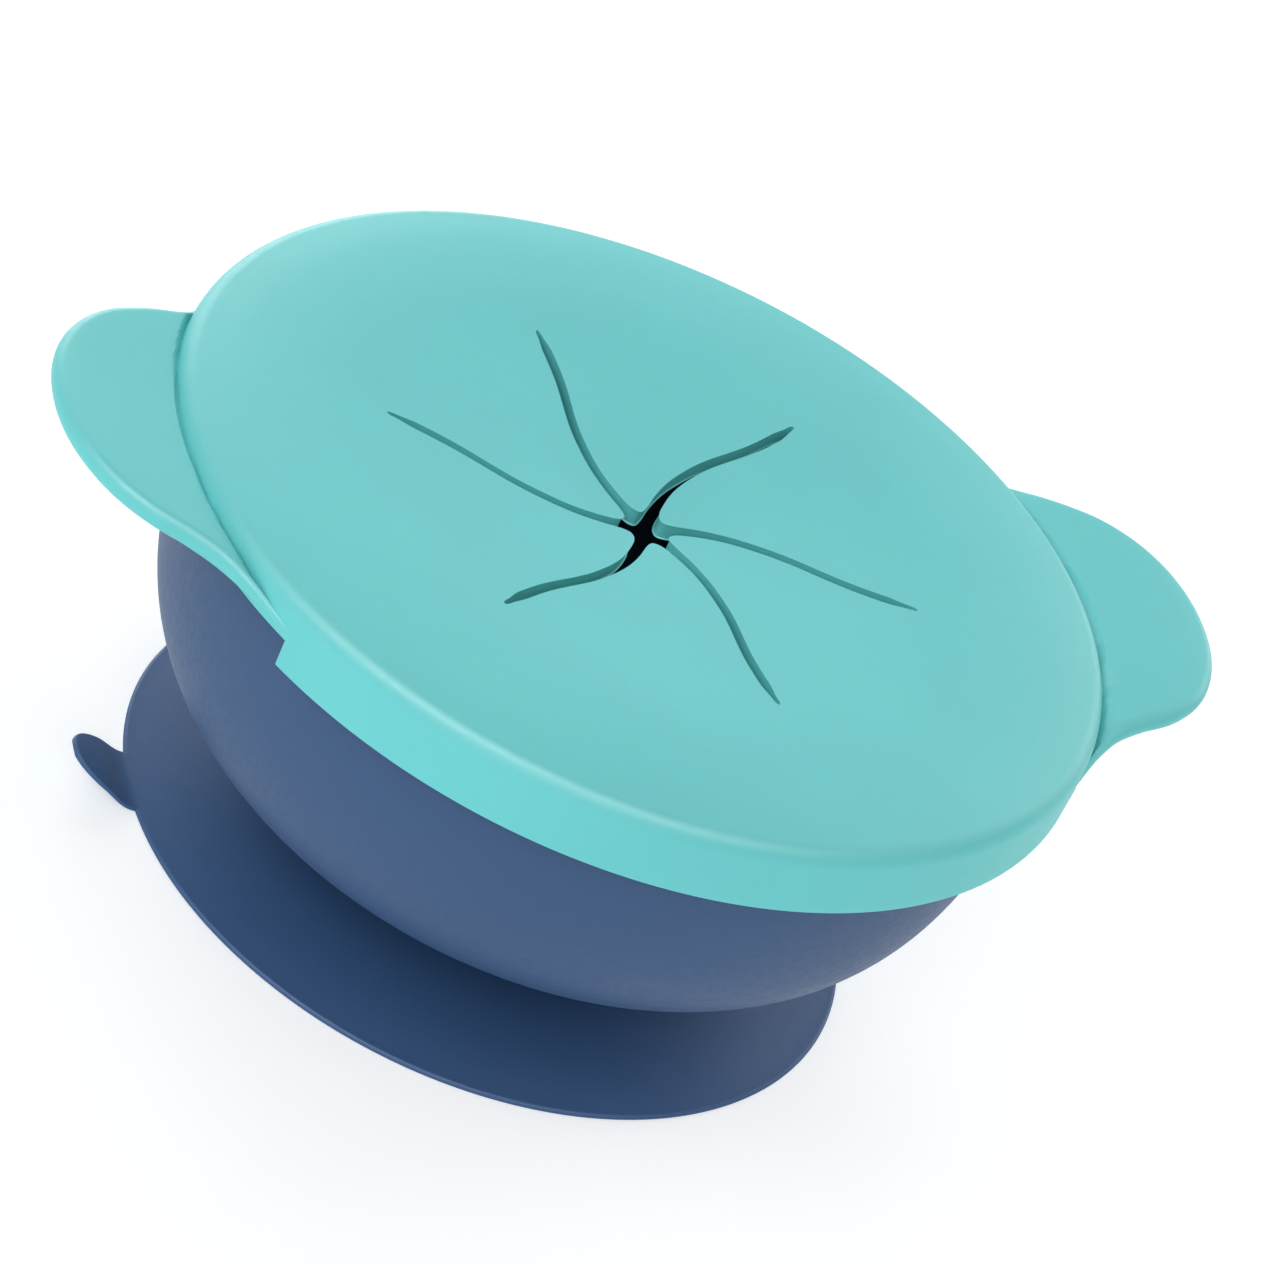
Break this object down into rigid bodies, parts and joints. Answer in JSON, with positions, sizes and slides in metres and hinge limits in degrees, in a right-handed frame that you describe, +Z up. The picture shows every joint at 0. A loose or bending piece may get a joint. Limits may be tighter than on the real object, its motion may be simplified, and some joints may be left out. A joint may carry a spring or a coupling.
{
  "type": "suction bowl",
  "caption": "Round silicone weaning bowl on a suction cup with a release tab, under a lift-off silicone lid with two ears and a centre opened by curved slits.",
  "frame": {"origin": "on the table, at the middle of the suction cup's sealing ring", "axes": "+Z up along the bowl's axis; the lid's ears point along +X and -X; the release tab points along -X"},
  "size_m": [0.1652, 0.1302, 0.0603],
  "materials": {
    "navy_silicone": "smooth matt moulded silicone",
    "turquoise_silicone": "smooth satin moulded silicone"
  },
  "bodies": {
    "suction_base": {"suction_cup": "navy_silicone"},
    "release_tab": {"release_tab": "navy_silicone"},
    "bowl": {"bowl": "navy_silicone"},
    "lid": {"lid": "turquoise_silicone"},
    "left_ear": {"left_ear": "turquoise_silicone"},
    "right_ear": {"right_ear": "turquoise_silicone"},
    "petal_1": {"petal_1": "turquoise_silicone"},
    "petal_2": {"petal_2": "turquoise_silicone"},
    "petal_3": {"petal_3": "turquoise_silicone"},
    "petal_4": {"petal_4": "turquoise_silicone"},
    "petal_5": {"petal_5": "turquoise_silicone"},
    "petal_6": {"petal_6": "turquoise_silicone"}
  },
  "joints": [
    {"name": "suction_press", "type": "slide", "parent": "suction_base", "child": "bowl", "axis": [0, 0, 1], "range_m": [-0.003, 0], "stiffness_N_per_m": 3000, "springref_m": 0.002, "deforming": ["suction_cup"]},
    {"name": "release_tab_flex", "type": "hinge", "parent": "suction_base", "child": "release_tab", "pos_m": [-0.0529, 0, 0.001], "axis": [0, 1, 0], "range_deg": [-20, 60], "stiffness_Nm_per_rad": 0.01},
    {"name": "lid_lift", "type": "slide", "parent": "bowl", "child": "lid", "axis": [0, 0, 1], "range_m": [0, 0.1]},
    {"name": "left_ear_flex", "type": "hinge", "parent": "lid", "child": "left_ear", "pos_m": [-0.0676, 0, 0.05696], "axis": [0, 1, 0], "range_deg": [-20, 60], "stiffness_Nm_per_rad": 0.06},
    {"name": "right_ear_flex", "type": "hinge", "parent": "lid", "child": "right_ear", "pos_m": [0.0676, 0, 0.05696], "axis": [0, -1, 0], "range_deg": [-20, 60], "stiffness_Nm_per_rad": 0.06},
    {"name": "petal_1_flex", "type": "hinge", "parent": "lid", "child": "petal_1", "pos_m": [0.0086, 0.03123, 0.0584], "axis": [0.9641, -0.2656, 0], "range_deg": [-60, 70], "stiffness_Nm_per_rad": 0.02},
    {"name": "petal_2_flex", "type": "hinge", "parent": "lid", "child": "petal_2", "pos_m": [-0.02274, 0.02306, 0.0584], "axis": [0.712, 0.7022, 0], "range_deg": [-60, 70], "stiffness_Nm_per_rad": 0.02},
    {"name": "petal_3_flex", "type": "hinge", "parent": "lid", "child": "petal_3", "pos_m": [-0.03134, -0.00816, 0.0584], "axis": [-0.2521, 0.9677, 0], "range_deg": [-60, 70], "stiffness_Nm_per_rad": 0.02},
    {"name": "petal_4_flex", "type": "hinge", "parent": "lid", "child": "petal_4", "pos_m": [-0.0086, -0.03123, 0.0584], "axis": [-0.9641, 0.2656, 0], "range_deg": [-60, 70], "stiffness_Nm_per_rad": 0.02},
    {"name": "petal_5_flex", "type": "hinge", "parent": "lid", "child": "petal_5", "pos_m": [0.02274, -0.02306, 0.0584], "axis": [-0.712, -0.7022, 0], "range_deg": [-60, 70], "stiffness_Nm_per_rad": 0.02},
    {"name": "petal_6_flex", "type": "hinge", "parent": "lid", "child": "petal_6", "pos_m": [0.03134, 0.00816, 0.0584], "axis": [0.2521, -0.9677, 0], "range_deg": [-60, 70], "stiffness_Nm_per_rad": 0.02}
  ]
}
